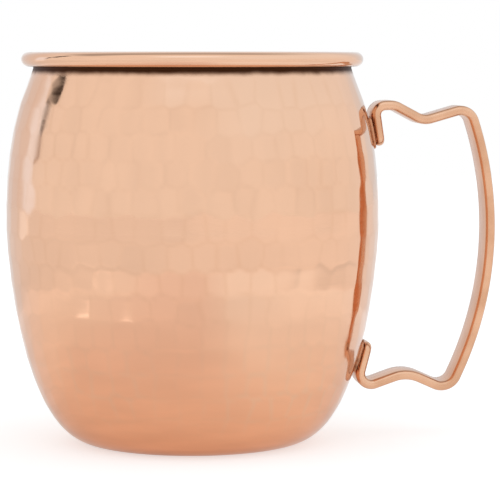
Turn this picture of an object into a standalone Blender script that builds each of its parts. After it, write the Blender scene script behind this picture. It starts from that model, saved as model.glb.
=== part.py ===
"""Copper mug with a rolled rim and a bent strap handle, as separate turned, bent and brazed pieces.

Units are metres and +Z is up. The origin is on the mug's axis, on the underside of the base, and the
handle points along +X.
"""
import math

import bmesh
import bpy
from mathutils import Vector
from mathutils.geometry import interpolate_bezier

MM = 0.001

# --- Driving dimensions, in millimetres ---------------------------------------------------------
WALL = 0.8                      # thickness of the copper sheet
GAP = 0.3                       # clearance kept between neighbouring pieces

# Outer face of the body, from the neck over the belly to the edge of the flat base
NECK_RADIUS = 38.0
NECK_HEIGHT = 89.8
NECK_FLARE = math.radians(14.7)  # how far the wall leans outwards just below the rolled rim
NECK_HANDLE = 4.7               # length of the outline's curve handle there, and so on below
BELLY_RADIUS = 44.7
BELLY_HEIGHT = 53.0
BELLY_HANDLE_UP = 25.3
BELLY_HANDLE_DOWN = 8.3
BASE_RADIUS = 23.5
BASE_HANDLE = 17.5

# Rolled rim: an oval tube of sheet, left open by a slit against the neck
RIM_RADIUS = 39.0               # from the mug's axis to the middle of the tube
RIM_HEIGHT = 91.92
RIM_HALF_WIDTH = 1.85
RIM_HALF_HEIGHT = 1.70
RIM_CURL_END = math.radians(-110)  # where the sheet's free edge stops, counted from straight outwards
WIRE_RADIUS = 0.45

LINER_WALL = 0.4

# Strap handle: a strip that follows these bends, each (distance from axis, height, bend radius)
STRAP_WIDTH = 9.6
STRAP_THICKNESS = 2.3
STRAP_EDGE_RADIUS = 0.9
TAB_CORNER_RADIUS = 2.4
STRAP_BENDS = [
    (45.05, 71.1, 0.0),         # lower end of the upper tab
    (43.6, 80.7, 2.3),          # top of the upper tab
    (48.4, 80.9, 4.0),          # crest beside the tab
    (55.5, 77.1, 4.7),          # upper dip
    (66.8, 80.35, 3.5),         # upper corner of the grip
    (77.9, 46.0, 83.5),         # the grip's long outward bow
    (62.2, 11.5, 3.9),          # lower corner of the grip
    (51.7, 16.2, 8.6),          # lower crest
    (39.1, 11.8, 2.7),          # bottom of the lower tab
    (42.25, 23.6, 0.0),         # upper end of the lower tab
]

BRAZE_RADIUS = 0.35             # half the thickness of the bead of braze round a tab
BRAZE_CORNER = 1.6              # plan radius where the bead turns round the tab's end
UPPER_BRAZE_SPAN = (71.0, 78.0)  # heights of the tab's end and of the bead's free ends
LOWER_BRAZE_SPAN = (23.7, 16.5)

# --- Smoothness ---------------------------------------------------------------------------------
TURN_STEPS = 48                 # facets round the mug
WALL_POINTS = 11                # points on each half of the body's outline
CURL_POINTS = 11                # points round each face of the rolled rim
BEND_STEP = math.radians(12)    # the most that the strap turns from one point to the next
BEND_CHORD = 4.0                # and the most that it advances along a bend, in millimetres
BRAZE_POINTS = 8                # points along each leg of a bead of braze

COPPER = ((0.83, 0.47, 0.33), 0.22, 1.0)
HANDLE_COPPER = ((0.80, 0.45, 0.30), 0.25, 1.0)
LINER_STEEL = ((0.62, 0.61, 0.59), 0.30, 1.0)
WIRE_STEEL = ((0.45, 0.43, 0.41), 0.45, 1.0)
BRAZE_METAL = ((0.56, 0.27, 0.15), 0.35, 1.0)


# --- Scene and materials ------------------------------------------------------------------------
def clear_scene():
    for old in list(bpy.data.objects):
        bpy.data.objects.remove(old, do_unlink=True)


def make_collection(name):
    collection = bpy.data.collections.new(name)
    bpy.context.scene.collection.children.link(collection)
    return collection


def make_material(name, finish):
    color, roughness, metallic = finish
    material = bpy.data.materials.new(name)
    material.use_nodes = True
    shader = material.node_tree.nodes["Principled BSDF"]
    shader.inputs["Base Color"].default_value = (*color, 1.0)
    shader.inputs["Roughness"].default_value = roughness
    shader.inputs["Metallic"].default_value = metallic
    return material


def add_object(name, data, collection, finish):
    piece = bpy.data.objects.new(name, data)
    collection.objects.link(piece)
    data.materials.append(make_material(name, finish))
    return piece


# --- Outlines, as (distance from the axis, height) in millimetres -------------------------------
def wall_outline():
    """The body's outer face, from the neck down to the edge of the flat base."""
    neck = Vector((NECK_RADIUS, NECK_HEIGHT))
    belly = Vector((BELLY_RADIUS, BELLY_HEIGHT))
    base = Vector((BASE_RADIUS, 0.0))
    flare = Vector((math.sin(NECK_FLARE), -math.cos(NECK_FLARE)))
    shoulder = interpolate_bezier(
        neck, neck + NECK_HANDLE * flare,
        belly + Vector((0.0, BELLY_HANDLE_UP)), belly, WALL_POINTS)
    bowl = interpolate_bezier(
        belly, belly - Vector((0.0, BELLY_HANDLE_DOWN)),
        base + Vector((BASE_HANDLE, 0.0)), base, WALL_POINTS)
    return [Vector(p[:2]) for p in shoulder + bowl[1:]]


def inward(outline, distance):
    """The same outline moved towards the inside of the cup."""
    moved = []
    for i, point in enumerate(outline):
        before = outline[max(i - 1, 0)]
        after = outline[min(i + 1, len(outline) - 1)]
        along = (after - before).normalized()
        if i == len(outline) - 1:
            along = Vector((-1.0, 0.0))     # the flat base runs straight towards the axis
        moved.append(point + distance * Vector((along.y, -along.x)))
    return moved


def wall_radius(height):
    """The body's outer radius at one height."""
    outline = wall_outline()
    for upper, lower in zip(outline, outline[1:]):
        if lower.y <= height <= upper.y:
            share = (upper.y - height) / (upper.y - lower.y)
            return upper.x + share * (lower.x - upper.x)
    raise ValueError(f"no wall at {height} mm")


def rim_arc(shrink, first, last):
    """Points round the rolled rim's oval, its half axes reduced by shrink."""
    points = []
    for i in range(CURL_POINTS):
        angle = first + (last - first) * i / (CURL_POINTS - 1)
        points.append(Vector((
            RIM_RADIUS + (RIM_HALF_WIDTH - shrink) * math.cos(angle),
            RIM_HEIGHT + (RIM_HALF_HEIGHT - shrink) * math.sin(angle))))
    return points


def cup_profile(outer, thickness, rim):
    """A cup's section from the middle of its floor, up the inside, over the rim and down the outside."""
    inner = inward(outer, thickness)
    floor = Vector((0.0, inner[-1].y))
    underside = Vector((0.0, outer[-1].y))
    return [floor] + inner[::-1] + rim + outer + [underside]


# --- Solids -------------------------------------------------------------------------------------
def turned(name, profile, collection, finish):
    """A profile turned once round the mug's axis."""
    mesh = bpy.data.meshes.new(name)
    points = [(p.x * MM, 0.0, p.y * MM) for p in profile]
    edges = [(i, i + 1) for i in range(len(points) - 1)]
    mesh.from_pydata(points, edges, [])
    piece = add_object(name, mesh, collection, finish)
    screw = piece.modifiers.new("Turn", "SCREW")
    screw.steps = TURN_STEPS
    screw.render_steps = TURN_STEPS
    screw.use_merge_vertices = True
    screw.merge_threshold = 0.00001
    screw.use_smooth_shade = True
    return piece


def strap_centreline():
    """The bends joined by straight runs and arcs, as points in the XZ plane."""
    points = [Vector(STRAP_BENDS[0][:2])]
    for before, bend, after in zip(STRAP_BENDS, STRAP_BENDS[1:], STRAP_BENDS[2:]):
        corner = Vector(bend[:2])
        radius = bend[2]
        back = (Vector(before[:2]) - corner).normalized()
        onward = (Vector(after[:2]) - corner).normalized()
        half_angle = back.angle(onward) / 2
        centre = corner + (back + onward).normalized() * radius / math.sin(half_angle)
        start = corner + back * radius / math.tan(half_angle) - centre
        end = corner + onward * radius / math.tan(half_angle) - centre
        turn = start.angle_signed(end)      # positive is clockwise
        steps = math.ceil(max(abs(turn) / BEND_STEP, abs(turn) * radius / BEND_CHORD))
        for i in range(steps + 1):
            angle = -turn * i / steps
            points.append(centre + Vector((
                start.x * math.cos(angle) - start.y * math.sin(angle),
                start.x * math.sin(angle) + start.y * math.cos(angle))))
    points.append(Vector(STRAP_BENDS[-1][:2]))
    return points


def make_strap(collection):
    """A ribbon along the bends, given its thickness, with rounded edges and tab corners."""
    shape = bmesh.new()
    near = [shape.verts.new((p.x * MM, -STRAP_WIDTH / 2 * MM, p.y * MM)) for p in strap_centreline()]
    edges = [shape.edges.new(pair) for pair in zip(near, near[1:])]
    swept = bmesh.ops.extrude_edge_only(shape, edges=edges)
    far = [item for item in swept["geom"] if isinstance(item, bmesh.types.BMVert)]
    bmesh.ops.translate(shape, verts=far, vec=(0.0, STRAP_WIDTH * MM, 0.0))
    corners = [vert for vert in shape.verts if len(vert.link_edges) == 2]
    bmesh.ops.bevel(
        shape, geom=corners, offset=TAB_CORNER_RADIUS * MM, affect="VERTICES",
        segments=3, profile=0.5, material=-1)
    bmesh.ops.recalc_face_normals(shape, faces=shape.faces)
    mesh = bpy.data.meshes.new("strap_handle")
    shape.to_mesh(mesh)
    shape.free()
    piece = add_object("strap_handle", mesh, collection, HANDLE_COPPER)
    thicken = piece.modifiers.new("Thickness", "SOLIDIFY")
    thicken.thickness = STRAP_THICKNESS * MM
    thicken.offset = 0.0
    thicken.use_even_offset = True
    rounding = piece.modifiers.new("Rounded edges", "BEVEL")
    rounding.width = STRAP_EDGE_RADIUS * MM
    rounding.segments = 2
    rounding.limit_method = "ANGLE"
    rounding.angle_limit = math.radians(60)
    mesh.shade_smooth()
    return piece


def braze_path(tab_end, free_end):
    """A U on the body's wall round one tab: down one side, round the tab's end and up the other."""
    half_width = STRAP_WIDTH / 2 + GAP + BRAZE_RADIUS
    beyond = math.copysign(GAP + BRAZE_RADIUS, tab_end - free_end)
    turn = math.copysign(BRAZE_CORNER, beyond)
    bottom = tab_end + beyond
    leg = [(half_width, free_end + (bottom - turn - free_end) * i / BRAZE_POINTS)
           for i in range(BRAZE_POINTS)]
    bend = [(half_width - BRAZE_CORNER + BRAZE_CORNER * math.cos(angle),
             bottom - turn + turn * math.sin(angle))
            for angle in (math.radians(22.5 * i) for i in range(5))]
    side = leg + bend
    flat = side + [(-across, height) for across, height in reversed(side)]
    path = []
    for across, height in flat:
        reach = wall_radius(height) + GAP + BRAZE_RADIUS
        path.append(Vector((math.sqrt(reach ** 2 - across ** 2), across, height)) * MM)
    return path


def make_braze(name, span, collection):
    """A bead of brazing metal in the corner between a tab and the wall."""
    curve = bpy.data.curves.new(name, "CURVE")
    curve.dimensions = "3D"
    curve.bevel_depth = BRAZE_RADIUS * MM
    curve.bevel_resolution = 2
    curve.use_fill_caps = True
    path = braze_path(*span)
    spline = curve.splines.new("POLY")
    spline.points.add(len(path) - 1)
    for point, place in zip(spline.points, path):
        point.co = (*place, 1.0)
    return add_object(name, curve, collection, BRAZE_METAL)


def make_body(collection):
    over_the_rim = rim_arc(0.0, math.pi, RIM_CURL_END)
    back_inside = rim_arc(WALL, RIM_CURL_END, math.pi)
    profile = cup_profile(wall_outline(), WALL, over_the_rim + back_inside)
    return turned("copper_body", profile, collection, COPPER)


def make_liner(collection):
    outer = inward(wall_outline(), WALL + GAP)
    return turned("inner_liner", cup_profile(outer, LINER_WALL, []), collection, LINER_STEEL)


def make_wire(collection):
    bpy.ops.mesh.primitive_torus_add(
        major_segments=TURN_STEPS, minor_segments=8,
        major_radius=RIM_RADIUS * MM, minor_radius=WIRE_RADIUS * MM,
        location=(0.0, 0.0, RIM_HEIGHT * MM))
    piece = bpy.context.object
    for holder in list(piece.users_collection):
        holder.objects.unlink(piece)
    collection.objects.link(piece)
    piece.name = "rim_wire"
    piece.data.name = "rim_wire"
    piece.data.materials.append(make_material("rim_wire", WIRE_STEEL))
    piece.data.shade_smooth()
    return piece


def main():
    clear_scene()
    mug = make_collection("hammered_copper_mug")
    make_body(mug)
    make_liner(mug)
    make_wire(mug)
    make_strap(mug)
    make_braze("upper_braze", UPPER_BRAZE_SPAN, mug)
    make_braze("lower_braze", LOWER_BRAZE_SPAN, mug)


main()
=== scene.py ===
"""Hammered copper mug: a planished barrel with a rolled rim, an inner lining and a brazed strap handle.

Every size is in metres, +Z is up, the mug stands on the origin and its handle points along +X.
"""
import math
from itertools import pairwise

import bmesh
import bpy
import numpy as np
from bpy.props import FloatProperty, FloatVectorProperty, IntProperty, PointerProperty
from mathutils import Matrix, Vector
from mathutils.geometry import interpolate_bezier


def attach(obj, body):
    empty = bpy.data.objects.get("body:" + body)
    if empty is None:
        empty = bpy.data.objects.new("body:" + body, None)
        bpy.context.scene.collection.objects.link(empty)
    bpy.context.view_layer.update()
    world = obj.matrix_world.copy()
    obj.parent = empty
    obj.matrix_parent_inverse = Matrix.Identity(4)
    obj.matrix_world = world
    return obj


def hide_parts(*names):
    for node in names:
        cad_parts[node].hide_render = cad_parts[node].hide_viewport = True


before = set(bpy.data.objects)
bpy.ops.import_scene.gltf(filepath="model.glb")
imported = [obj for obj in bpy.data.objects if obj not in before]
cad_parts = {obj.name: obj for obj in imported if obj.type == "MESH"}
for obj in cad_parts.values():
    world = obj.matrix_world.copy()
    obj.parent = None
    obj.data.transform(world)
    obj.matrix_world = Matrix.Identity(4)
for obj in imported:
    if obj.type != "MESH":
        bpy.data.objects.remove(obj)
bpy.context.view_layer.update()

bl_info = {
    "name": "Hammered Copper Mug",
    "version": (1, 0, 0),
    "blender": (4, 5, 0),
    "location": "View3D > Sidebar > Copper Mug",
    "description": "Makes a hammered copper mug with a strap handle, and a plain studio to show it in",
    "category": "Add Mesh",
}

MM = 0.001
WHITE = (1.0, 1.0, 1.0)
PLAIN_SEGMENTS = 240        # facets round the turned pieces that aren't hammered
SEAM = "seam"               # the body's attribute that marks the edges between hammer marks

# The bends of the strap's middle line, each as (distance from the mug's axis, height, bend radius) in
# millimetres
STRAP_BENDS = [
    (45.05, 71.1, 0.0),         # lower end of the upper tab
    (43.6, 80.7, 2.3),          # top of the upper tab
    (48.4, 80.9, 4.0),          # crest beside the tab
    (55.5, 77.1, 4.7),          # upper dip
    (66.8, 80.35, 3.5),         # upper corner of the grip
    (77.9, 46.0, 83.5),         # the grip's long outward bow
    (62.2, 11.5, 3.9),          # lower corner of the grip
    (51.7, 16.2, 8.6),          # lower crest
    (39.1, 11.8, 2.7),          # bottom of the lower tab
    (42.25, 23.6, 0.0),         # upper end of the lower tab
]

# Each braze bead, as (height of the tab's end that it goes round, height where its two legs stop) in
# millimetres
BRAZE_SPANS = {"upper": (71.0, 78.0), "lower": (23.7, 16.5)}


# --- Settings -------------------------------------------------------------------------------------
def length(name, description, millimetres):
    return FloatProperty(name=name, description=description, default=millimetres * MM,
                         min=0.0, unit="LENGTH", precision=5)


def share(name, description, default):
    return FloatProperty(name=name, description=description, default=default,
                         min=0.0, max=1.0, subtype="FACTOR")


def tint(name, description, default):
    return FloatVectorProperty(name=name, description=description, default=default,
                               min=0.0, max=1.0, size=3, subtype="COLOR")


class BarrelSettings(bpy.types.PropertyGroup):
    neck_radius: length("Neck radius", "Outer radius of the wall just below the rolled rim", 38.0)
    neck_height: length("Neck height", "Height at which the wall meets the rolled rim", 89.8)
    neck_flare: FloatProperty(name="Neck flare", description="How far the wall leans outwards below the rim",
                              default=math.radians(14.7), subtype="ANGLE")
    neck_handle: length("Shoulder ease", "Length of the outline's curve handle at the neck", 4.7)
    belly_radius: length("Belly radius", "Outer radius at the widest ring", 44.7)
    belly_height: length("Belly height", "Height of the widest ring", 53.0)
    belly_handle_up: length("Belly ease above", "Curve handle above the widest ring", 25.3)
    belly_handle_down: length("Belly ease below", "Curve handle below the widest ring", 8.3)
    base_radius: length("Base radius", "Radius of the flat base", 23.5)
    base_handle: length("Base ease", "Curve handle where the bowl runs into the base", 17.5)
    wall: length("Sheet", "Thickness of the copper sheet", 0.8)
    rim_radius: length("Rim radius", "From the mug's axis to the middle of the rolled rim", 39.0)
    rim_height: length("Rim height", "Height of the middle of the rolled rim", 91.92)
    rim_half_width: length("Rim half width", "Half the rolled rim's width", 1.85)
    rim_half_height: length("Rim half height", "Half the rolled rim's height", 1.70)
    rim_curl_end: FloatProperty(name="Curl end", subtype="ANGLE", default=math.radians(-110),
                                description="Where the sheet's free edge stops under the rim")
    wire_radius: length("Wire radius", "Radius of the wire inside the rolled rim", 0.45)
    liner_gap: length("Liner gap", "Clearance between the sheet and the liner", 0.3)
    liner_wall: length("Liner sheet", "Thickness of the liner", 0.4)
    segments: IntProperty(name="Segments", description="Facets round the mug", default=480, min=48)
    rows: IntProperty(name="Rows", description="Rows of facets on each half of the wall", default=69, min=8)


class HammerSettings(bpy.types.PropertyGroup):
    ring_pitch: length("Ring pitch", "Distance between the rings of hammer marks, along the wall", 6.1)
    mark_width: length("Mark width", "Distance between hammer marks round a ring", 5.4)
    hollow_round: length("Hollow round", "Radius of a mark's hollow, round the mug", 82.0)
    hollow_up: length("Hollow up", "Radius of a mark's hollow, up and down the wall", 80.0)
    unevenness: share("Unevenness", "How far the blows stray from an even pattern", 0.24)
    depth_spread: length("Depth spread", "How much deeper the hardest blow is than the lightest", 0.016)
    lowest: length("Lowest mark", "Height below which the bowl is smooth", 7.0)
    highest: length("Highest mark", "Height above which the neck is smooth", 85.0)
    seam_depth: length("Seam depth", "How far below two marks' shared edge the dull seam reaches", 0.045)
    seed: IntProperty(name="Seed", description="Picks another pattern of blows", default=11)


class StrapSettings(bpy.types.PropertyGroup):
    width: length("Width", "Width of the strap", 9.6)
    thickness: length("Thickness", "Thickness of the strap", 2.3)
    edge_radius: length("Edge radius", "Rounding along the strap's edges", 1.1)
    corner_radius: length("Tab corner", "Plan radius of the corners of the strap's ends", 2.4)
    braze_radius: length("Braze radius", "Half the thickness of the bead of brazing metal", 0.42)
    braze_corner: length("Braze corner", "Plan radius where the bead turns round a tab's end", 1.6)


class FinishSettings(bpy.types.PropertyGroup):
    copper: tint("Copper", "Polished copper of the body", (0.850, 0.533, 0.363))
    # Painted shade: the redder, darker copper low on the bowl stands in for the shaded floor that it reflects
    low_shade_copper: tint("Warm copper", "Redder copper of the lower bowl", (0.84, 0.425, 0.245))
    # Painted shade: the darker copper along the edges of the marks
    seam_shade_copper: tint("Seam copper", "Duller copper along the edges of the marks", (0.79, 0.475, 0.31))
    # Painted shade: the dark colour in the slit under the rim
    rim_slit_shade: tint("Patina", "Dark tarnish in the slit under the rim", (0.085, 0.030, 0.012))
    strap_copper: tint("Strap copper", "Polished copper of the handle", (0.80, 0.475, 0.305))
    # Wear and painted shade: less polished patches, and a darker band beside the strap's rounded edges
    worn_and_shaded_strap: tint("Dull strap", "Copper of the handle where it is less polished", (0.62, 0.33, 0.19))
    steel: tint("Lining steel", "Satin steel of the liner", (0.74, 0.73, 0.71))
    wire: tint("Wire", "Unpolished steel of the rim wire", (0.30, 0.285, 0.27))
    braze: tint("Braze", "Copper braze, dressed down and polished over", (0.56, 0.27, 0.15))


class StudioSettings(bpy.types.PropertyGroup):
    distance: length("Camera distance", "Level distance from the mug's axis to the camera", 600.0)
    eye_height: length("Camera height", "Height of the camera above the floor", 95.1)
    azimuth: FloatProperty(name="Azimuth", subtype="ANGLE", default=math.radians(-5.2),
                           description="Where the camera stands, counted from the mug's front")
    pan: FloatProperty(name="Pan", description="How far the camera turns to the right of the mug's axis",
                       default=math.radians(1.314), subtype="ANGLE")
    tilt: FloatProperty(name="Tilt", description="How far the camera looks down",
                        default=math.radians(4.67), subtype="ANGLE")
    lens: FloatProperty(name="Lens", description="Focal length on a 36 mm sensor, in millimetres",
                        default=180.0, min=1.0)
    tent: FloatProperty(name="Tent", description="Brightness of the white tent round the mug",
                        default=1.0, min=0.0)
    ceiling: share("Ceiling", "Brightness of the tent's open top, as a share of its sides", 0.52)
    floor: share("Floor white", "How white the floor is", 0.55)
    backlight: share("Backlight", "Glow of the floor, which is lit from beneath", 0.57)


class MugSettings(bpy.types.PropertyGroup):
    barrel: PointerProperty(type=BarrelSettings, name="Barrel", description="Sizes of the cup")
    hammer: PointerProperty(type=HammerSettings, name="Hammering", description="The pattern of blows")
    strap: PointerProperty(type=StrapSettings, name="Strap", description="Sizes of the handle")
    finish: PointerProperty(type=FinishSettings, name="Finish", description="Colours of the metals")
    studio: PointerProperty(type=StudioSettings, name="Studio", description="Camera, floor and light")


# --- Outlines, as (distance from the axis, height) ------------------------------------------------
def wall_outline(barrel, rows):
    """The sheet's outer face from the neck, over the belly, to the edge of the flat base."""
    neck = Vector((barrel.neck_radius, barrel.neck_height))
    belly = Vector((barrel.belly_radius, barrel.belly_height))
    base = Vector((barrel.base_radius, 0.0))
    flare = Vector((math.sin(barrel.neck_flare), -math.cos(barrel.neck_flare)))
    shoulder = interpolate_bezier(
        neck, neck + barrel.neck_handle * flare,
        belly + Vector((0.0, barrel.belly_handle_up)), belly, rows + 1)
    bowl = interpolate_bezier(
        belly, belly - Vector((0.0, barrel.belly_handle_down)),
        base + Vector((barrel.base_handle, 0.0)), base, rows + 1)
    return [Vector(point[:2]) for point in shoulder + bowl[1:]]


def inward(outline, distance):
    """The same outline moved towards the inside of the cup."""
    moved = []
    for i, point in enumerate(outline):
        along = outline[min(i + 1, len(outline) - 1)] - outline[max(i - 1, 0)]
        if i == len(outline) - 1:
            along = Vector((-1.0, 0.0))     # the flat base runs straight towards the axis
        along.normalize()
        moved.append(point + distance * Vector((along.y, -along.x)))
    return moved


def rim_arc(barrel, shrink, first, last, steps):
    """Points round the rolled rim's oval, with its half axes reduced by shrink."""
    points = []
    for i in range(steps + 1):
        angle = first + (last - first) * i / steps
        points.append(Vector((
            barrel.rim_radius + (barrel.rim_half_width - shrink) * math.cos(angle),
            barrel.rim_height + (barrel.rim_half_height - shrink) * math.sin(angle))))
    return points


def floor_line(edge, steps):
    """Points from the mug's axis out to the last point before the edge of a flat disc."""
    return [Vector((edge.x * i / steps, edge.y)) for i in range(steps)]


# --- Shapes ---------------------------------------------------------------------------------------
def turn_section(section, segments):
    """A section turned once round the mug's axis, as a closed bmesh with its faces pointing out.

    One sector is spun, and then doubled until it goes all the way round.
    """
    doublings = 4
    shape = bmesh.new()
    points = [shape.verts.new((point.x, 0.0, point.y)) for point in section]
    edges = [shape.edges.new(pair) for pair in pairwise(points)]
    sector = math.tau / 2 ** doublings
    bmesh.ops.spin(shape, geom=points + edges, cent=(0, 0, 0), axis=(0, 0, 1), dvec=(0, 0, 0),
                   angle=sector, steps=segments // 2 ** doublings, use_merge=False, use_duplicate=False)
    for i in range(doublings):
        copied = bmesh.ops.duplicate(shape, geom=shape.verts[:] + shape.edges[:] + shape.faces[:])
        moved = [item for item in copied["geom"] if isinstance(item, bmesh.types.BMVert)]
        bmesh.ops.rotate(shape, cent=(0, 0, 0), matrix=Matrix.Rotation(sector * 2 ** i, 3, "Z"), verts=moved)
    bmesh.ops.remove_doubles(shape, verts=shape.verts, dist=0.001 * MM)
    bmesh.ops.recalc_face_normals(shape, faces=shape.faces)
    return shape


def finish_piece(name, shape, material, nodes):
    """Puts a bmesh in the scene as one smooth piece that stands for some CAD nodes."""
    mesh = bpy.data.meshes.new(name)
    shape.to_mesh(mesh)
    shape.free()
    mesh.shade_smooth()
    mesh.materials.append(material)
    piece = bpy.data.objects.new(name, mesh)
    bpy.context.scene.collection.objects.link(piece)
    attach(piece, "root")
    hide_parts(*nodes)
    return piece


def smooth_step(values, low, high):
    """Nothing below the low value, rising smoothly to one at the high value."""
    t = np.clip((values - low) / (high - low), 0.0, 1.0)
    return t * t * (3.0 - 2.0 * t)


def hammer_wall(mesh, barrel, hammer):
    """Moves the outer wall inwards where rings of shallow round blows have flattened it.

    The seam attribute is one along the edges where two marks meet, and nothing inside a mark.
    """
    outline = np.array([point[:] for point in wall_outline(barrel, barrel.rows)])[::-1]
    reach, height = outline.T
    steps = np.diff(outline, axis=0)
    travel = np.concatenate(([0.0], np.cumsum(np.hypot(*steps.T))))
    slope = np.gradient(outline, travel, axis=0)

    places = np.empty(len(mesh.vertices) * 3, dtype=np.float32)
    mesh.vertices.foreach_get("co", places)
    places = places.reshape(-1, 3)
    x, y, z = places.T.astype(float)
    outer = np.hypot(x, y) > np.interp(z, height, reach) - barrel.wall / 2
    outer &= (z > hammer.lowest / 2) & (z < barrel.neck_height)
    turn = np.arctan2(y, x)[outer]
    level = z[outer]
    along = np.interp(level, height, travel)

    draw = np.random.default_rng(hammer.seed)
    ring_range = 1.3 * hammer.ring_pitch        # a mark counts no further than this from its ring
    surface = np.full(len(turn), np.inf)
    second = surface.copy()     # the next mark's surface, which meets the first along a seam
    rings = np.arange(np.interp(hammer.lowest, height, travel), travel[-1], hammer.ring_pitch)
    for ring in rings:
        ring_reach = np.interp(ring, travel, reach)
        count = round(math.tau * ring_reach / hammer.mark_width)
        step = math.tau / count
        stray = draw.uniform(-hammer.unevenness, hammer.unevenness, (2, count))
        first = draw.uniform(0.0, step)
        mark_turn = first + (np.arange(count) + stray[0]) * step
        mark_along = ring + stray[1] * hammer.ring_pitch * 0.5
        mark_depth = draw.uniform(0.0, hammer.depth_spread, count)
        near = np.abs(along - ring) < ring_range
        nearest = np.round((turn[near] - first) / step).astype(int)
        for neighbour in (-1, 0, 1):
            mark = (nearest + neighbour) % count
            around = turn[near] - mark_turn[mark]
            around = ring_reach * ((around + math.pi) % math.tau - math.pi)
            above = along[near] - mark_along[mark]
            bowl = around ** 2 / (2 * hammer.hollow_round) + above ** 2 / (2 * hammer.hollow_up)
            bowl += mark_depth[mark]
            second[near] = np.minimum(second[near], np.maximum(surface[near], bowl))
            surface[near] = np.minimum(surface[near], bowl)
    ridge = ((hammer.mark_width / 2) ** 2 / (2 * hammer.hollow_round)
             + (hammer.ring_pitch / 2) ** 2 / (2 * hammer.hollow_up) + hammer.depth_spread)
    fade = smooth_step(level, hammer.lowest / 2, hammer.lowest * 2)
    fade *= 1.0 - smooth_step(level, hammer.highest, barrel.neck_height)
    meeting = np.clip(1.0 - (second - surface) / hammer.seam_depth, 0.0, 1.0)
    surface -= meeting ** 2 * hammer.seam_depth / 4     # rounds the edge between two marks
    depth = np.clip(ridge - surface, 0.0, ridge) * fade
    seam = np.zeros(len(mesh.vertices))
    seam[outer] = meeting * fade
    mesh.attributes.new(SEAM, "FLOAT", "POINT").data.foreach_set("value", seam)

    towards_axis = -np.interp(along, travel, slope[:, 1])
    upwards = np.interp(along, travel, slope[:, 0])
    places[outer, 0] += depth * towards_axis * np.cos(turn)
    places[outer, 1] += depth * towards_axis * np.sin(turn)
    places[outer, 2] += depth * upwards
    mesh.vertices.foreach_set("co", places.ravel())
    mesh.update()


def strap_centreline():
    """The strap's bends joined by straight runs and arcs, as points in the XZ plane."""
    chord, bend_step = 0.8, math.radians(4)
    points = [Vector(STRAP_BENDS[0][:2])]
    for before, bend, after in zip(STRAP_BENDS, STRAP_BENDS[1:], STRAP_BENDS[2:]):
        corner = Vector(bend[:2])
        radius = bend[2]
        back = (Vector(before[:2]) - corner).normalized()
        onward = (Vector(after[:2]) - corner).normalized()
        half_angle = back.angle(onward) / 2
        centre = corner + (back + onward).normalized() * radius / math.sin(half_angle)
        start = corner + back * radius / math.tan(half_angle) - centre
        end = corner + onward * radius / math.tan(half_angle) - centre
        turn = start.angle_signed(end)      # positive is clockwise
        steps = math.ceil(max(abs(turn) / bend_step, abs(turn) * radius / chord))
        for i in range(steps + 1):
            swing = Matrix.Rotation(-turn * i / steps, 2)
            points.append(centre + swing @ start)
    points.append(Vector(STRAP_BENDS[-1][:2]))
    return [point * MM for point in points]


def braze_path(barrel, strap, tab_end, free_end):
    """A U on the wall round one tab: up one side, round the tab's end and back along the other side."""
    outline = wall_outline(barrel, barrel.rows)[::-1]
    heights = [point.y for point in outline]
    radii = [point.x for point in outline]
    stand_off = strap.braze_radius * 0.55   # the bead sinks a little into the tab and the wall
    half_width = strap.width / 2 + stand_off
    way = math.copysign(1.0, tab_end - free_end)
    bottom = tab_end + way * stand_off
    corner = strap.braze_corner
    leg_steps, corner_steps, end_steps = 24, 8, 12
    side = [(half_width, free_end + (bottom - way * corner - free_end) * i / leg_steps)
            for i in range(leg_steps)]
    for i in range(corner_steps + 1):
        angle = math.pi / 2 * i / corner_steps
        side.append((half_width - corner + corner * math.cos(angle),
                     bottom - way * corner + way * corner * math.sin(angle)))
    side += [((half_width - corner) * (1 - i / end_steps), bottom) for i in range(1, end_steps)]
    path = []
    for across, height in side + [(0.0, bottom)] + [(-a, h) for a, h in reversed(side)]:
        reach = float(np.interp(height, heights, radii)) + stand_off
        path.append(Vector((math.sqrt(reach ** 2 - across ** 2), across, height)))
    return path


def flowed_bead(path, radius, seed):
    """A bead of metal along a path, swelling and thinning as it flowed, with tapered ends."""
    draw = np.random.default_rng(seed)
    smoothing, swelling = 7, 0.45
    end_size, taper_points = 0.25, 4
    swell = np.convolve(draw.uniform(-1.0, 1.0, len(path) + smoothing - 1),
                        np.ones(smoothing) / smoothing, mode="valid")
    shape = bmesh.new()
    loops = []
    for i, point in enumerate(path):
        along = path[min(i + 1, len(path) - 1)] - path[max(i - 1, 0)]
        from_end = min(i, len(path) - 1 - i)
        taper = min(1.0, end_size + from_end / taper_points)
        placed = Matrix.Translation(point) @ along.to_track_quat("Z", "Y").to_matrix().to_4x4()
        made = bmesh.ops.create_circle(shape, cap_ends=from_end == 0, segments=14,
                                       radius=radius * taper * (1 + swelling * swell[i]), matrix=placed)
        loops.append({edge for vert in made["verts"] for edge in vert.link_edges})
    for before, after in pairwise(loops):
        bmesh.ops.bridge_loops(shape, edges=list(before | after))
    bmesh.ops.recalc_face_normals(shape, faces=shape.faces)
    return shape


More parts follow.
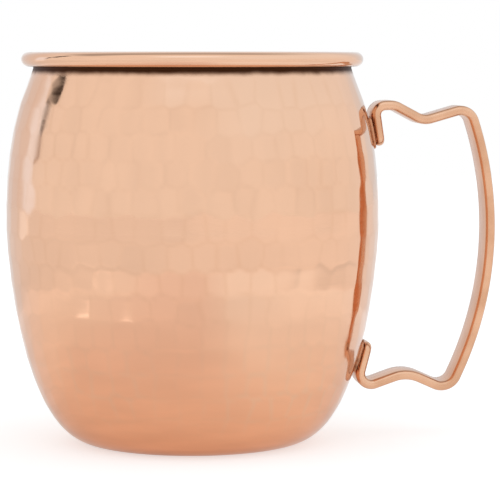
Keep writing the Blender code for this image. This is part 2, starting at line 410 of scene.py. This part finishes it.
# --- Materials ------------------------------------------------------------------------------------
class Nodes:
    """A node tree in the making, with the coordinates that its patterns read."""

    def __init__(self, tree, coordinates):
        self.tree = tree
        self.place = self.node("ShaderNodeTexCoord").outputs[coordinates]

    def node(self, kind, operation=None, **values):
        made = self.tree.nodes.new(kind)
        if operation:
            made.operation = operation
        for name, value in values.items():
            self.feed(made.inputs[name.replace("_", " ")], value)
        return made

    def feed(self, socket, value):
        if isinstance(value, bpy.types.NodeSocket):
            self.tree.links.new(value, socket)
        else:
            socket.default_value = value

    def math(self, operation, first, second=0.0):
        made = self.node("ShaderNodeMath", operation)
        self.feed(made.inputs[0], first)
        self.feed(made.inputs[1], second)
        return made.outputs["Value"]

    def chain(self, operation, values):
        """One operation carried from the first of several values on to the last."""
        result, *others = values
        for value in others:
            result = self.math(operation, result, value)
        return result

    def from_front(self, towards, y):
        """The angle from -Y, counted towards another axis."""
        return self.math("ARCTAN2", towards, self.math("MULTIPLY", y, -1.0))

    def axes(self):
        parts = self.node("ShaderNodeSeparateXYZ", Vector=self.place)
        return [parts.outputs[axis] for axis in "XYZ"]

    def stretched(self, scale):
        return self.node("ShaderNodeMapping", Vector=self.place, Scale=scale).outputs["Vector"]

    def noise(self, where, scale, detail=4.0, roughness=0.5):
        made = self.node("ShaderNodeTexNoise", Vector=where, Scale=scale, Detail=detail,
                         Roughness=roughness)
        return made.outputs["Fac"]

    def ramp(self, value, low, high, to_low=0.0, to_high=1.0):
        made = self.node("ShaderNodeMapRange", Value=value, From_Min=low, From_Max=high,
                         To_Min=to_low, To_Max=to_high)
        made.interpolation_type = "SMOOTHSTEP"
        return made.outputs["Result"]

    def within(self, value, centre, half, soft):
        """One inside a stretch, falling to nothing over its soft edges."""
        away = self.math("ABSOLUTE", self.math("SUBTRACT", value, centre))
        return self.ramp(away, half - soft, half + soft, 1.0, 0.0)

    def patch(self, pair, middle, half, softness):
        """One inside a soft-edged box of two coordinates."""
        sides = [self.within(pair[i], middle[i], half[i], softness[i]) for i in range(2)]
        return self.math("MULTIPLY", *sides)

    def blend(self, share_of_second, first, second):
        made = self.tree.nodes.new("ShaderNodeMix")
        made.data_type = "RGBA"
        self.feed(made.inputs["Factor"], share_of_second)
        for socket, value in zip([s for s in made.inputs if s.type == "RGBA"], (first, second)):
            self.feed(socket, value if isinstance(value, bpy.types.NodeSocket) else (*value, 1.0))
        return next(s for s in made.outputs if s.type == "RGBA")


class Recipe(Nodes):
    """A material in the making."""

    def __init__(self, name, roughness, metallic=1.0):
        self.material = bpy.data.materials.new(name)
        self.material.use_nodes = True
        super().__init__(self.material.node_tree, "Object")
        self.shader = self.tree.nodes["Principled BSDF"]
        self.set("Roughness", roughness)
        self.set("Metallic", metallic)

    def set(self, name, value):
        self.feed(self.shader.inputs[name], value)

    def bump(self, height, depth):
        made = self.node("ShaderNodeBump", Height=height, Distance=depth, Strength=1.0)
        self.set("Normal", made.outputs["Normal"])


def toned(color, factor):
    """The same colour, darker or lighter."""
    return tuple(channel * factor for channel in color)


def hammered_copper(finish, barrel):
    """Polished copper with painted shade: redder and darker low on the bowl, darker and rougher along its
    seams, and dark and rougher in the slit under the rim.
    """
    recipe = Recipe("hammered_copper", 0.08)
    height = recipe.axes()[2]
    cloud = recipe.noise(recipe.place, 38.0, 3.0)
    lines = recipe.noise(recipe.stretched((14.0, 14.0, 900.0)), 1.0, 5.0, 0.6)

    upper = recipe.blend(recipe.ramp(cloud, 0.35, 0.75), finish.copper, toned(finish.copper, 0.95))
    # Painted shade: redder, darker copper low on the bowl, for the shaded floor that the bowl reflects
    wander = recipe.math("MULTIPLY", cloud, 8.0 * MM)
    low = recipe.ramp(recipe.math("ADD", height, wander), 4.0 * MM, barrel.belly_height, 1.0, 0.0)
    copper = recipe.blend(low, upper, finish.low_shade_copper)

    edges = recipe.node("ShaderNodeAttribute")
    edges.attribute_name = SEAM
    # Painted shade: darker copper along the seams between marks, which are also made rougher below
    seam = recipe.math("MULTIPLY", edges.outputs["Fac"], recipe.ramp(cloud, 0.35, 0.65, 0.1, 0.7))
    copper = recipe.blend(seam, copper, finish.seam_shade_copper)

    neck = barrel.neck_height
    ragged = recipe.math("MULTIPLY", recipe.noise(recipe.place, 260.0, 2.0), 0.8 * MM)
    # Painted shade: a dark band in the slit under the rolled rim, which is also made rougher
    slit = recipe.ramp(recipe.math("ADD", height, ragged), neck - 1.45 * MM, neck + 0.15 * MM)
    below_curl = recipe.ramp(height, neck + 0.4 * MM, neck + 0.7 * MM, 1.0, 0.0)
    under_rim_shade = recipe.math("MULTIPLY", slit, below_curl)
    recipe.set("Base Color", recipe.blend(under_rim_shade, copper, finish.rim_slit_shade))

    gloss = recipe.ramp(recipe.math("ADD", lines, cloud), 0.7, 1.3, 0.05, 0.12)
    dull = recipe.math("ADD", recipe.math("MULTIPLY", under_rim_shade, 0.35), recipe.math("MULTIPLY", seam, 0.06))
    recipe.set("Roughness", recipe.math("ADD", gloss, dull))
    recipe.set("Specular Tint", (0.86, 0.88, 0.90, 1.0))
    recipe.bump(lines, 0.003 * MM)
    return recipe.material


def strap_copper(finish, strap):
    """Drawn copper strip, duller in patches and in its lengthwise draw lines, with a band of painted shade
    beside its rounded edges.
    """
    recipe = Recipe("strap_copper", 0.2)
    lines = recipe.noise(recipe.stretched((30.0, 1800.0, 30.0)), 1.0, 4.0, 0.6)
    cloud = recipe.noise(recipe.place, 130.0, 4.0)
    worn = recipe.ramp(recipe.math("ADD", cloud, recipe.math("MULTIPLY", lines, 0.3)), 0.5, 0.85, 0.0, 0.6)
    # Painted shade: a darker band along the strap just inside each rounded edge
    across = recipe.math("ABSOLUTE", recipe.axes()[1])
    from_edge, half, soft = (strap.edge_radius * part for part in (0.72, 0.27, 0.14))
    shoulder = recipe.within(across, strap.width / 2 - from_edge, half, soft)
    dull = recipe.math("MAXIMUM", worn, recipe.math("MULTIPLY", shoulder, 0.65))
    recipe.set("Base Color", recipe.blend(dull, finish.strap_copper, finish.worn_and_shaded_strap))
    recipe.set("Roughness", recipe.ramp(lines, 0.3, 0.7, 0.14, 0.26))
    recipe.set("Specular Tint", (0.80, 0.80, 0.82, 1.0))
    recipe.bump(lines, 0.006 * MM)
    return recipe.material


def spun_steel(finish):
    """Satin steel with the fine rings that spinning leaves."""
    recipe = Recipe("spun_steel", 0.3)
    x, y, z = recipe.axes()
    squares = [recipe.math("POWER", axis, 2.0) for axis in (x, y)]
    reach = recipe.math("SQRT", recipe.math("ADD", *squares))
    across = recipe.node("ShaderNodeCombineXYZ", X=reach, Z=z).outputs["Vector"]
    rings = recipe.noise(across, 1500.0, 3.0, 0.6)
    cloud = recipe.noise(recipe.place, 45.0, 3.0)
    cloudy = recipe.ramp(cloud, 0.4, 0.7)
    recipe.set("Base Color", recipe.blend(cloudy, finish.steel, toned(finish.steel, 0.8)))
    recipe.set("Roughness", recipe.ramp(rings, 0.3, 0.7, 0.2, 0.36))
    recipe.bump(rings, 0.008 * MM)
    return recipe.material


def drawn_wire(finish):
    """Unpolished steel wire."""
    recipe = Recipe("drawn_wire", 0.45)
    cloud = recipe.noise(recipe.place, 500.0, 3.0)
    recipe.set("Base Color", recipe.blend(cloud, finish.wire, toned(finish.wire, 0.6)))
    recipe.set("Roughness", recipe.ramp(cloud, 0.3, 0.7, 0.35, 0.55))
    return recipe.material


def flowed_braze(finish):
    """Copper braze with a mottled skin, dark where the flux burnt on."""
    recipe = Recipe("flowed_braze", 0.4)
    cloud = recipe.noise(recipe.place, 420.0, 4.0, 0.6)
    burnt = recipe.ramp(cloud, 0.45, 0.7)
    recipe.set("Base Color", recipe.blend(burnt, finish.braze, toned(finish.braze, 0.45)))
    recipe.set("Roughness", recipe.ramp(cloud, 0.3, 0.7, 0.22, 0.45))
    recipe.bump(cloud, 0.04 * MM)
    return recipe.material


# --- Studio ---------------------------------------------------------------------------------------
def angled(degrees, other):
    """An angle, given in degrees, beside a distance or a share."""
    return math.radians(degrees), other


def skyward(azimuth, elevation):
    """An azimuth and an elevation, given in degrees."""
    return math.radians(azimuth), math.radians(elevation)


# What lies round the mug on the floor, each as the middle, half size and softness of a patch. The first
# two are in x and y, the strip's in lengths along and across it, and the others in azimuth and reach,
# which is the distance from the mug's axis. Lengths are in metres.
# Where the glow in front is painted warm, for light bounced from the copper into the mug's shade
WARM_BOUNCE_PART = ((-0.03, -0.12), (0.065, 0.11), (0.045, 0.02))
LEFT_SIDE = ((-0.075, 0.03), (0.03, 0.04), (0.015, 0.02))
STRIP_TURN = math.radians(64.2)
STRIP_PARTS = (
    ((-0.030, -0.205), (0.014, 0.024), (0.010, 0.010)),
    ((0.105, -0.212), (0.085, 0.020), (0.014, 0.008)),
)
FLOOR_PANEL = (angled(-127, 0.9), angled(7, 0.42), angled(1, 0.05))
LONG_GAP = (angled(-62, 0.257), angled(17, 0.0018), angled(3, 0.0012))
SHORT_GAPS = ((-61, 0.189), (-52, 0.186), (-69, 0.134), (-41, 0.125))       # middles, in degrees and metres
SHORT_GAP_SIZE = (angled(3.2, 0.0020), angled(1.5, 0.0012))

# Patches of the tent in the same way, in azimuth and elevation, with their colours
SOFTBOX = (angled(56, -0.03), angled(13, 0.34), angled(8, 0.18))        # angle over the top, share of x
SOFTBOX_COLOR = (1.16, 1.30, 1.44)
TENT_PATCHES = (
    ((skyward(75, 38), skyward(60, 22), skyward(25, 14)), (1.02, 1.08, 1.13)),      # upper right
    ((skyward(-151, 5), skyward(17, 30), skyward(3, 8)), (0.94, 0.90, 0.89)),       # behind, on the left
    ((skyward(154, 5), skyward(16, 30), skyward(6, 8)), (0.92, 0.94, 0.96)),        # behind, on the right
    ((skyward(-127, 3), skyward(7, 15), skyward(0.8, 2)), (1.08, 1.20, 1.38)),      # bright panel
)
LAMP_PARTS = (
    (skyward(-119.3, 13), skyward(0.9, 7), skyward(0.15, 0.5)),         # stand
    (skyward(-120.8, 18.8), skyward(1.9, 1.7), skyward(0.4, 0.4)),      # clamp
    (skyward(-116.8, 30), skyward(3.8, 9), skyward(0.3, 1.0)),          # head
)
LAMP_COLOR = (0.05, 0.04, 0.035)
STAND_FOOT = (skyward(-120.2, 6), skyward(1.2, 2.2), skyward(0.5, 0.9))
STAND_FOOT_COLOR = (0.55, 0.45, 0.38)


def floor_streaks(recipe, azimuth, reach):
    """Faint streaks round the mug, narrower close to it."""
    strength = 0.07
    where = recipe.node("ShaderNodeCombineXYZ", X=recipe.math("MULTIPLY", azimuth, 1.5),
                        Y=recipe.math("MULTIPLY", recipe.math("LOGARITHM", reach, math.e), 8.0))
    return recipe.ramp(recipe.noise(where.outputs["Vector"], 1.0, 3.0, 0.55), 0.25, 0.75, -strength, strength)


def dark_strip(recipe, x, y):
    """A dark strip beyond the painted pool of light, in two parts."""
    cosine, sine = math.cos(STRIP_TURN), math.sin(STRIP_TURN)
    along = recipe.math("ADD", recipe.math("MULTIPLY", x, cosine), recipe.math("MULTIPLY", y, sine))
    across = recipe.math("SUBTRACT", recipe.math("MULTIPLY", y, cosine), recipe.math("MULTIPLY", x, sine))
    return recipe.chain("ADD", [recipe.patch((along, across), *part) for part in STRIP_PARTS])


def bright_gaps(recipe, azimuth, reach):
    """Thin bright gaps to the left, one long and the others short."""
    gaps = [LONG_GAP] + [(angled(*middle), *SHORT_GAP_SIZE) for middle in SHORT_GAPS]
    return recipe.chain("MAXIMUM", [recipe.patch((azimuth, reach), *gap) for gap in gaps])


def pale_floor(studio):
    """A white shooting table, lit from beneath.

    It looks plain white to the camera. In the mug it shows what lies on and round the table: a painted shadow
    of the mug with a painted warm bounce from the copper in front, a painted pool of light to the right with
    a dark strip beyond it, a bright panel and a few thin bright gaps to the left, and faint streaks.
    """
    recipe = Recipe("pale_floor", 0.9, 0.0)
    grain = recipe.noise(recipe.place, 900.0, 2.0)
    recipe.set("Base Color", recipe.blend(grain, (studio.floor,) * 3, (studio.floor * 0.99,) * 3))

    x, y, _ = recipe.axes()
    reach = recipe.node("ShaderNodeVectorMath", "LENGTH", Vector=recipe.place).outputs["Value"]
    azimuth = recipe.from_front(x, y)
    near = recipe.ramp(reach, 0.18, 0.20, 1.0, 0.0)
    # Painted pool of light on the floor to the right of the mug
    right_light_pool = recipe.math("MULTIPLY", near, recipe.ramp(x, -0.01, 0.05))
    left = recipe.math("MULTIPLY", recipe.ramp(x, -0.13, -0.02, 1.0, 0.0),
                       recipe.ramp(near, 0.0, 1.0, -0.12, 0.06))
    gaps = bright_gaps(recipe, azimuth, reach)
    panel = recipe.patch((azimuth, reach), *FLOOR_PANEL)

    # The glow is dimmer close to the mug: painted shadow of the mug
    glow = [floor_streaks(recipe, azimuth, reach), recipe.ramp(reach, 0.10, 0.19, 0.70, 0.86), left]
    for part, extra in (
        (recipe.patch((x, y), *LEFT_SIDE), 0.12),
        (right_light_pool, 0.17),
        (dark_strip(recipe, x, y), -0.24),
        (recipe.within(reach, 0.25, 0.0022, 0.0018), -0.14),        # the table's edge
        (gaps, 0.8),
        (panel, 0.35),
    ):
        glow.append(recipe.math("MULTIPLY", part, extra))
    # Painted warm bounce from the copper, in front of the mug
    bounce_warmth = recipe.chain("MULTIPLY", (near, recipe.patch((x, y), *WARM_BOUNCE_PART),
                                       recipe.ramp(reach, 0.03, 0.08, 0.2, 1.0)))
    tone = recipe.blend(bounce_warmth, (1.0, 0.914, 0.86), (1.0, 0.79, 0.72))
    tone = recipe.blend(recipe.chain("MAXIMUM", (right_light_pool, gaps, panel)), tone, WHITE)
    seen = recipe.node("ShaderNodeLightPath").outputs["Is Camera Ray"]
    brightness = recipe.math("MAXIMUM", recipe.chain("ADD", glow), seen)
    recipe.set("Emission Color", recipe.blend(seen, tone, WHITE))
    recipe.set("Emission Strength", recipe.math("MULTIPLY", brightness, studio.backlight))
    return recipe.material


def white_tent(studio):
    """A white tent with soft folds and an open top, a softbox, a bright panel and a lamp on a stand.

    Azimuths are counted from -Y, towards +X, and the camera itself sees plain white behind the mug.
    """
    world = bpy.data.worlds.new("white_tent")
    world.use_nodes = True
    tent = Nodes(world.node_tree, "Generated")
    x, y, z = tent.axes()
    direction = (tent.from_front(x, y), tent.math("ARCSINE", z))
    over = tent.from_front(z, y)

    folds = tent.ramp(tent.noise(tent.place, 6.0, 3.0), 0.35, 0.7, 0.0, 0.055)
    color = tent.blend(folds, (1.02, 1.02, 1.02), (0.0, 0.0, 0.0))
    overhead = tent.within(over, math.radians(116), math.radians(20), math.radians(10))
    opening = tent.math("MULTIPLY", tent.ramp(z, 0.6, 0.8), overhead)
    color = tent.blend(opening, color, (studio.ceiling,) * 3)
    color = tent.blend(tent.patch((over, x), *SOFTBOX), color, SOFTBOX_COLOR)
    for patch, patch_color in TENT_PATCHES:
        color = tent.blend(tent.patch(direction, *patch), color, patch_color)
    lamp = tent.chain("MAXIMUM", [tent.patch(direction, *part) for part in LAMP_PARTS])
    color = tent.blend(lamp, color, LAMP_COLOR)
    color = tent.blend(tent.patch(direction, *STAND_FOOT), color, STAND_FOOT_COLOR)
    seen = tent.node("ShaderNodeLightPath").outputs["Is Camera Ray"]
    background = world.node_tree.nodes["Background"]
    tent.feed(background.inputs["Color"], tent.blend(seen, color, WHITE))
    background.inputs["Strength"].default_value = studio.tent
    return world


# --- Operators ------------------------------------------------------------------------------------
class RaiseBody(bpy.types.Operator):
    """Turns the copper barrel with its rolled rim, and hammers it"""
    bl_idname = "copper_mug.raise_body"
    bl_label = "Raise Body"

    def execute(self, context):
        settings = context.scene.copper_mug
        barrel = settings.barrel
        inner_rows, curl_steps, inner_curl_steps, underside_steps = 10, 30, 14, 3
        outer = wall_outline(barrel, barrel.rows)
        inner = inward(wall_outline(barrel, inner_rows), barrel.wall)[::-1]
        end = barrel.rim_curl_end
        curl = rim_arc(barrel, 0.0, math.pi, end, curl_steps)
        curl += rim_arc(barrel, barrel.wall, end, math.pi, inner_curl_steps)
        underside = floor_line(outer[-1], underside_steps)[::-1]
        section = floor_line(inner[0], 1) + inner + curl + outer + underside
        shape = turn_section(section, barrel.segments)
        body = finish_piece("hammered_body", shape, hammered_copper(settings.finish, barrel),
                            ["copper_body"])
        hammer_wall(body.data, barrel, settings.hammer)
        return {"FINISHED"}


class LineCup(bpy.types.Operator):
    """Turns the thin inner liner"""
    bl_idname = "copper_mug.line_cup"
    bl_label = "Line Cup"

    def execute(self, context):
        settings = context.scene.copper_mug
        barrel = settings.barrel
        liner_rows, lip_steps, floor_steps = 36, 6, 4
        outline = wall_outline(barrel, liner_rows)
        outer = inward(outline, barrel.wall + barrel.liner_gap)
        inner = inward(outline, barrel.wall + barrel.liner_gap + barrel.liner_wall)[::-1]
        lip_centre = (outer[0] + inner[-1]) / 2
        lip = []
        for i in range(1, lip_steps):
            angle = math.pi * i / lip_steps
            lip.append(lip_centre + barrel.liner_wall / 2 * Vector((-math.cos(angle), math.sin(angle) - 1.0)))
        drop = Vector((0.0, barrel.liner_wall / 2))
        inner[-1] -= drop
        outer[0] -= drop
        section = floor_line(inner[0], floor_steps) + inner + lip + outer + floor_line(outer[-1], 1)
        shape = turn_section(section, PLAIN_SEGMENTS)
        finish_piece("spun_liner", shape, spun_steel(settings.finish), ["inner_liner"])
        return {"FINISHED"}


class LayRimWire(bpy.types.Operator):
    """Turns the wire that the rim is rolled round"""
    bl_idname = "copper_mug.lay_rim_wire"
    bl_label = "Lay Rim Wire"

    def execute(self, context):
        settings = context.scene.copper_mug
        barrel = settings.barrel
        shape = bmesh.new()
        rim_centre = Matrix.Translation((barrel.rim_radius, 0.0, barrel.rim_height))
        placed = rim_centre @ Matrix.Rotation(math.pi / 2, 4, "X")
        made = bmesh.ops.create_circle(shape, cap_ends=False, segments=16, radius=barrel.wire_radius,
                                       matrix=placed)
        edges = list({edge for vert in made["verts"] for edge in vert.link_edges})
        bmesh.ops.spin(shape, geom=made["verts"] + edges, cent=(0, 0, 0), axis=(0, 0, 1), dvec=(0, 0, 0),
                       angle=math.tau, steps=PLAIN_SEGMENTS, use_merge=True, use_duplicate=False)
        bmesh.ops.recalc_face_normals(shape, faces=shape.faces)
        finish_piece("drawn_rim_wire", shape, drawn_wire(settings.finish), ["rim_wire"])
        return {"FINISHED"}


class BendHandle(bpy.types.Operator):
    """Bends the copper strap to its shape, with rounded edges and tab corners"""
    bl_idname = "copper_mug.bend_handle"
    bl_label = "Bend Handle"

    def execute(self, context):
        settings = context.scene.copper_mug
        strap = settings.strap
        shape = bmesh.new()
        near = [shape.verts.new((point.x, -strap.width / 2, point.y)) for point in strap_centreline()]
        edges = [shape.edges.new(pair) for pair in pairwise(near)]
        swept = bmesh.ops.extrude_edge_only(shape, edges=edges)
        far = [item for item in swept["geom"] if isinstance(item, bmesh.types.BMVert)]
        bmesh.ops.translate(shape, verts=far, vec=(0.0, strap.width, 0.0))
        corners = [vert for vert in shape.verts if len(vert.link_edges) == 2]
        bmesh.ops.bevel(shape, geom=corners, offset=strap.corner_radius, affect="VERTICES",
                        segments=10, profile=0.5, material=-1)
        bmesh.ops.recalc_face_normals(shape, faces=shape.faces)
        piece = finish_piece("bent_strap", shape, strap_copper(settings.finish, strap),
                             ["strap_handle"])
        thicken = piece.modifiers.new("Thickness", "SOLIDIFY")
        thicken.thickness = strap.thickness
        thicken.offset = 0.0
        thicken.use_even_offset = True
        rounding = piece.modifiers.new("Rounded edges", "BEVEL")
        rounding.width = strap.edge_radius
        rounding.segments = 5
        rounding.limit_method = "ANGLE"
        rounding.angle_limit = math.radians(60)
        return {"FINISHED"}


class BrazeTabs(bpy.types.Operator):
    """Runs a bead of brazing metal round each tab of the handle"""
    bl_idname = "copper_mug.braze_tabs"
    bl_label = "Braze Tabs"

    def execute(self, context):
        settings = context.scene.copper_mug
        metal = flowed_braze(settings.finish)
        for seed, (side, (tab_end, free_end)) in enumerate(BRAZE_SPANS.items()):
            path = braze_path(settings.barrel, settings.strap, tab_end * MM, free_end * MM)
            shape = flowed_bead(path, settings.strap.braze_radius, seed)
            finish_piece(f"{side}_braze_bead", shape, metal, [f"{side}_braze"])
        return {"FINISHED"}


class SetStage(bpy.types.Operator):
    """Makes the pale floor, the white tent's light and the camera"""
    bl_idname = "copper_mug.set_stage"
    bl_label = "Set Stage"

    def execute(self, context):
        scene = context.scene
        studio = scene.copper_mug.studio
        scene.view_settings.view_transform = "Standard"
        scene.world = white_tent(studio)
        self.make_floor(scene, studio)
        self.make_camera(scene, studio)
        return {"FINISHED"}

    @staticmethod
    def make_floor(scene, studio):
        half_size = 1.2
        shape = bmesh.new()
        bmesh.ops.create_grid(shape, x_segments=1, y_segments=1, size=half_size)
        mesh = bpy.data.meshes.new("pale_floor")
        shape.to_mesh(mesh)
        shape.free()
        mesh.materials.append(pale_floor(studio))
        floor = bpy.data.objects.new("pale_floor", mesh)
        scene.collection.objects.link(floor)

    @staticmethod
    def make_camera(scene, studio):
        lens = bpy.data.cameras.new("camera")
        lens.sensor_width = 36.0
        lens.lens = studio.lens
        lens.clip_start = 0.01
        camera = bpy.data.objects.new("camera", lens)
        camera.location = (math.sin(studio.azimuth) * studio.distance,
                           -math.cos(studio.azimuth) * studio.distance, studio.eye_height)
        camera.rotation_euler = (math.pi / 2 - studio.tilt, 0.0, studio.azimuth - studio.pan)
        scene.collection.objects.link(camera)
        scene.camera = camera


class MugPanel(bpy.types.Panel):
    """The mug's steps and sizes, in the 3D view's sidebar"""
    bl_idname = "VIEW3D_PT_copper_mug"
    bl_label = "Copper Mug"
    bl_space_type = "VIEW_3D"
    bl_region_type = "UI"
    bl_category = "Copper Mug"

    def draw(self, context):
        settings = context.scene.copper_mug
        for step in STEPS:
            self.layout.operator(step.bl_idname)
        for group in (settings.barrel, settings.hammer, settings.strap, settings.finish, settings.studio):
            box = self.layout.box()
            for name in group.__annotations__:
                box.prop(group, name)


SETTINGS = (BarrelSettings, HammerSettings, StrapSettings, FinishSettings, StudioSettings, MugSettings)
STEPS = (RaiseBody, LineCup, LayRimWire, BendHandle, BrazeTabs, SetStage)


def register():
    for part in (*SETTINGS, *STEPS, MugPanel):
        bpy.utils.register_class(part)
    bpy.types.Scene.copper_mug = PointerProperty(
        type=MugSettings, name="Copper mug", description="Sizes and colours of the mug")


def unregister():
    del bpy.types.Scene.copper_mug
    for part in (MugPanel, *reversed(STEPS), *reversed(SETTINGS)):
        bpy.utils.unregister_class(part)


def main():
    register()
    bpy.ops.copper_mug.raise_body()
    bpy.ops.copper_mug.line_cup()
    bpy.ops.copper_mug.lay_rim_wire()
    bpy.ops.copper_mug.bend_handle()
    bpy.ops.copper_mug.braze_tabs()
    bpy.ops.copper_mug.set_stage()


if __name__ == "__main__":
    main()
